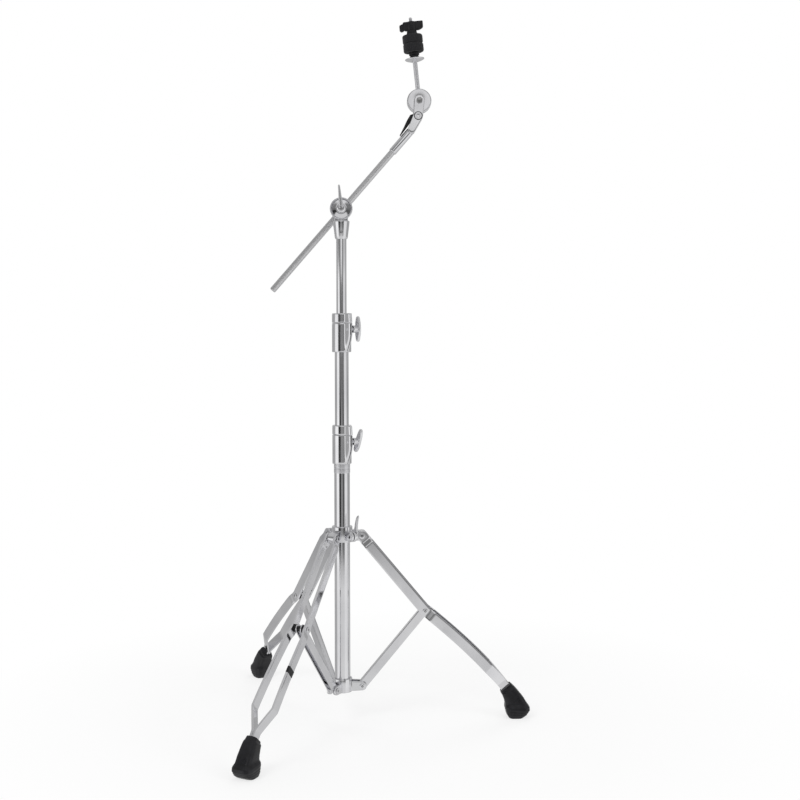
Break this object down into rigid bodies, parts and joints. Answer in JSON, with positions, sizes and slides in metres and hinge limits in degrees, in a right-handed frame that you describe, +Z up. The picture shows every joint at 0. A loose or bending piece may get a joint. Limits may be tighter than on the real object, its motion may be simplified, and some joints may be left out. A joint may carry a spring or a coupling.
{
  "type": "cymbal boom stand",
  "caption": "Folding double-braced tripod stand with telescoping chromed tubes, a tilting sliding boom and a cymbal seat with felts and wing nut.",
  "frame": {"origin": "centre of the bounding box on the ground", "axes": "+Z up the tubes; +X towards the side leg and the raised end of the boom; -Y towards the front, where the boom's wing nut is"},
  "size_m": [0.5396, 0.6094, 1.2942],
  "materials": {
    "chrome": "bright chrome plating with a faint orange peel",
    "knurled_steel": "fine cross knurl on satin plated steel",
    "black_nylon": "moulded black nylon with a fine grain",
    "black_rubber": "semi-matt moulded rubber with ribs",
    "black_felt": "pressed wool felt"
  },
  "bodies": {
    "root": {"base_tube": "chrome", "base_tube_plug": "black_nylon", "strut_collar": "chrome", "strut_rivet_1": "chrome", "strut_rivet_2": "chrome", "strut_rivet_3": "chrome", "base_clamp": "chrome", "base_clamp_cap": "chrome"},
    "strut_1": {"strut_1": "chrome", "strut_spool_1": "black_nylon"},
    "strut_2": {"strut_2": "chrome", "strut_spool_2": "black_nylon"},
    "strut_3": {"strut_3": "chrome", "strut_spool_3": "black_nylon"},
    "leg_1": {"leg_bar_left_1": "chrome", "leg_bar_right_1": "chrome", "leg_middle_rivet_1": "chrome", "rubber_foot_1": "black_rubber"},
    "leg_2": {"leg_bar_left_2": "chrome", "leg_bar_right_2": "chrome", "leg_middle_rivet_2": "chrome", "rubber_foot_2": "black_rubber"},
    "leg_3": {"leg_bar_left_3": "chrome", "leg_bar_right_3": "chrome", "leg_middle_rivet_3": "chrome", "rubber_foot_3": "black_rubber"},
    "leg_collar": {"leg_collar": "chrome", "leg_top_rivet_1": "chrome", "leg_top_rivet_2": "chrome", "leg_top_rivet_3": "chrome"},
    "leg_collar_bolt": {"leg_collar_bolt": "chrome"},
    "base_wing_bolt": {"base_clamp_wing_bolt": "chrome"},
    "base_bush": {"base_clamp_bush": "black_nylon"},
    "middle_tube": {"middle_tube": "chrome", "middle_clamp": "chrome", "middle_clamp_cap": "chrome"},
    "middle_wing_bolt": {"middle_clamp_wing_bolt": "chrome"},
    "middle_bush": {"middle_clamp_bush": "black_nylon"},
    "upper_tube": {"upper_tube": "chrome", "boom_bracket": "chrome", "boom_bracket_screw": "knurled_steel", "boom_tilter_disc": "chrome"},
    "boom_holder": {"boom_holder": "chrome", "boom_tilter_bolt": "knurled_steel"},
    "boom_wing_nut": {"boom_wing_nut": "chrome"},
    "boom_bush": {"boom_bush": "black_nylon"},
    "boom": {"boom_rod": "knurled_steel", "boom_sleeve": "chrome", "tilter_base": "chrome", "tilter_pivot_bolt": "knurled_steel", "tilter_lever_bolt": "chrome"},
    "tilter_lever": {"tilter_lever": "black_nylon"},
    "cymbal_seat": {"tilter_wheel": "chrome", "cymbal_rod": "chrome", "cymbal_cup_washer": "chrome", "cymbal_sleeve": "black_nylon", "cymbal_lower_felt": "black_felt"},
    "cymbal_top": {"cymbal_upper_felt": "black_felt"},
    "cymbal_wing_nut": {"cymbal_wing_nut": "black_nylon"}
  },
  "joints": [
    {"name": "leg_fold", "type": "hinge", "parent": "root", "child": "strut_1", "pos_m": [-0.04144, 0.00551, 0.06259], "axis": [0.0279, -0.9996, 0], "range_deg": [0, 36]},
    {"name": "leg_1_knee", "type": "hinge", "parent": "strut_1", "child": "leg_1", "pos_m": [0.07426, 0.00874, 0.20109], "axis": [-0.0279, 0.9996, 0], "range_deg": [0, 72]},
    {"name": "leg_1_to_collar", "type": "hinge", "parent": "leg_1", "child": "leg_collar", "pos_m": [-0.04144, 0.00551, 0.33959], "axis": [0.0279, -0.9996, 0], "range_deg": [0, 36]},
    {"name": "leg_2_fold", "type": "hinge", "parent": "leg_collar", "child": "leg_2", "pos_m": [-0.09629, 0.03517, 0.33959], "axis": [-0.8517, -0.524, 0], "range_deg": [0, 36]},
    {"name": "strut_2_fold", "type": "hinge", "parent": "root", "child": "strut_2", "pos_m": [-0.09629, 0.03517, 0.06259], "axis": [0.8517, 0.524, 0], "range_deg": [0, 36]},
    {"name": "leg_3_fold", "type": "hinge", "parent": "leg_collar", "child": "leg_3", "pos_m": [-0.09455, -0.02716, 0.33959], "axis": [0.8796, -0.4756, 0], "range_deg": [0, 36]},
    {"name": "strut_3_fold", "type": "hinge", "parent": "root", "child": "strut_3", "pos_m": [-0.09455, -0.02716, 0.06259], "axis": [-0.8796, 0.4756, 0], "range_deg": [0, 36]},
    {"name": "leg_collar_bolt_turn", "type": "hinge", "parent": "leg_collar", "child": "leg_collar_bolt", "pos_m": [-0.05961, -0.02445, 0.34159], "axis": [0.8517, 0.524, 0], "range_deg": [-25, 175]},
    {"name": "base_wing_bolt_turn", "type": "hinge", "parent": "root", "child": "base_wing_bolt", "pos_m": [-0.06406, -0.01721, 0.51409], "axis": [0.8517, 0.524, 0], "continuous": true},
    {"name": "middle_tube_swivel", "type": "hinge", "parent": "root", "child": "base_bush", "pos_m": [-0.07743, 0.00451, 0.50309], "axis": [0, 0, 1], "continuous": true},
    {"name": "middle_tube_height", "type": "slide", "parent": "base_bush", "child": "middle_tube", "axis": [0, 0, 1], "range_m": [-0.12, 0.23]},
    {"name": "middle_wing_bolt_turn", "type": "hinge", "parent": "middle_tube", "child": "middle_wing_bolt", "pos_m": [-0.06406, -0.01721, 0.71909], "axis": [0.8517, 0.524, 0], "continuous": true},
    {"name": "upper_tube_swivel", "type": "hinge", "parent": "middle_tube", "child": "middle_bush", "pos_m": [-0.07743, 0.00451, 0.70809], "axis": [0, 0, 1], "continuous": true},
    {"name": "upper_tube_height", "type": "slide", "parent": "middle_bush", "child": "upper_tube", "axis": [0, 0, 1], "range_m": [-0.13, 0.3]},
    {"name": "boom_tilt", "type": "hinge", "parent": "upper_tube", "child": "boom_holder", "pos_m": [-0.07743, 0.02951, 0.93869], "axis": [0, -1, 0], "range_deg": [-50, 32]},
    {"name": "boom_wing_nut_turn", "type": "hinge", "parent": "upper_tube", "child": "boom_wing_nut", "pos_m": [-0.07743, -0.01549, 0.93869], "axis": [0, 1, 0], "continuous": true},
    {"name": "boom_turn", "type": "hinge", "parent": "boom_holder", "child": "boom_bush", "pos_m": [-0.07688, 0.02951, 0.93821], "axis": [0.6574, 0, 0.7536], "continuous": true},
    {"name": "boom_slide", "type": "slide", "parent": "boom_bush", "child": "boom", "axis": [0.6574, 0, 0.7536], "range_m": [-0.11, 0.15]},
    {"name": "cymbal_tilt", "type": "hinge", "parent": "boom", "child": "cymbal_seat", "pos_m": [0.06715, 0.02951, 1.13968], "axis": [0, -1, 0], "range_deg": [-80, 80]},
    {"name": "tilter_lever_press", "type": "hinge", "parent": "boom", "child": "tilter_lever", "pos_m": [0.06475, 0.02951, 1.11138], "axis": [0, 1, 0], "range_deg": [0, 15]},
    {"name": "upper_felt_lift", "type": "slide", "parent": "cymbal_seat", "child": "cymbal_top", "axis": [-0.1037, 0, 0.9946], "range_m": [0, 0.035]},
    {"name": "cymbal_wing_nut_turn", "type": "hinge", "parent": "cymbal_top", "child": "cymbal_wing_nut", "pos_m": [0.05367, 0.02951, 1.26898], "axis": [-0.1037, 0, 0.9946], "continuous": true}
  ],
  "couplings": [
    {"joint": "leg_1_knee", "follows": "leg_fold", "ratio": 2},
    {"joint": "leg_1_to_collar", "follows": "leg_fold", "ratio": 1},
    {"joint": "leg_2_fold", "follows": "leg_fold", "ratio": 1},
    {"joint": "leg_3_fold", "follows": "leg_fold", "ratio": 1},
    {"joint": "strut_2_fold", "follows": "leg_fold", "ratio": 1},
    {"joint": "strut_3_fold", "follows": "leg_fold", "ratio": 1}
  ]
}
